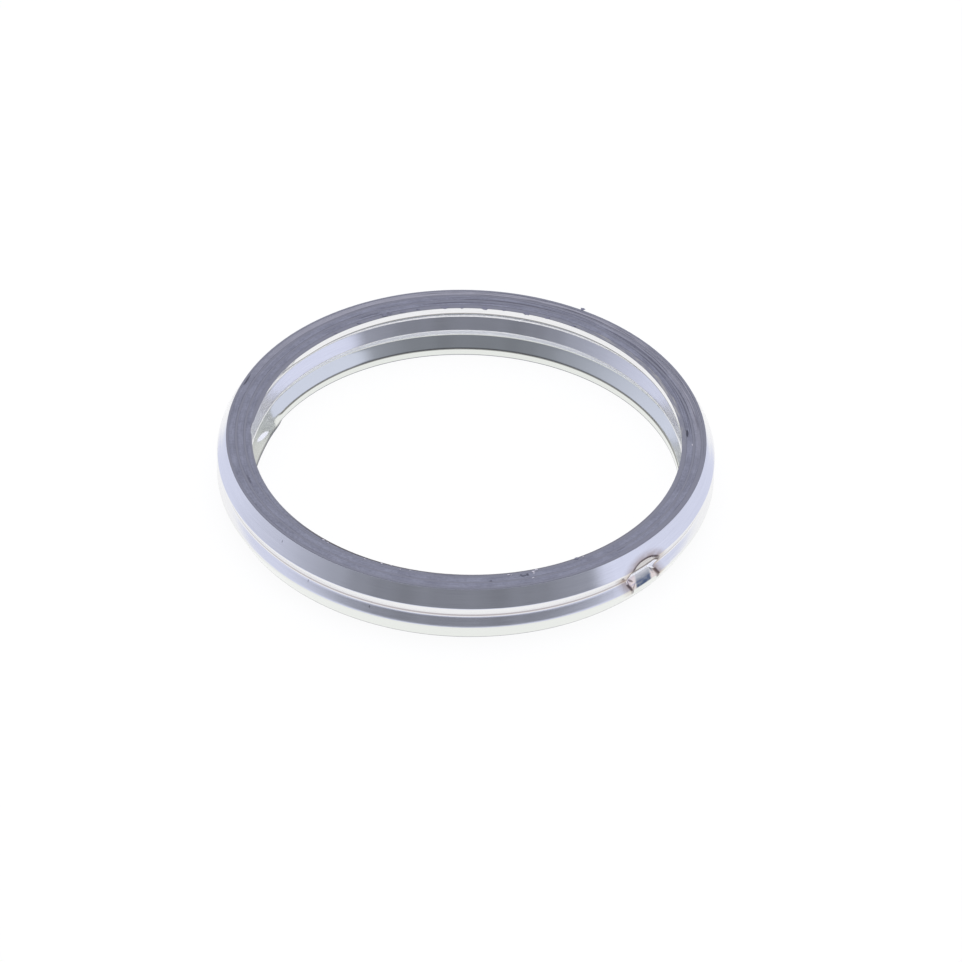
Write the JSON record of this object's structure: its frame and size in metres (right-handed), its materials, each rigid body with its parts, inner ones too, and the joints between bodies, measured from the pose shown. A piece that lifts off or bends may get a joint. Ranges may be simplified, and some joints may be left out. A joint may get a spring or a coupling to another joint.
{
  "type": "spiral wound exhaust gasket",
  "caption": "Round spiral wound exhaust ring gasket: a W-pressed steel strip wound with graphite tape, flat sealing faces and a grooved outer wall.",
  "frame": {"origin": "on the ring's axis at its lower sealing face", "axes": "+Z along the ring's axis, up from the lower sealing face to the upper one"},
  "size_m": [0.044, 0.0438, 0.0054],
  "materials": {
    "steel_strip": "bright rolled",
    "graphite": "matte, rubbed"
  },
  "bodies": {
    "root": {"steel_winding": "steel_strip", "graphite_filler": "graphite"}
  },
  "joints": []
}
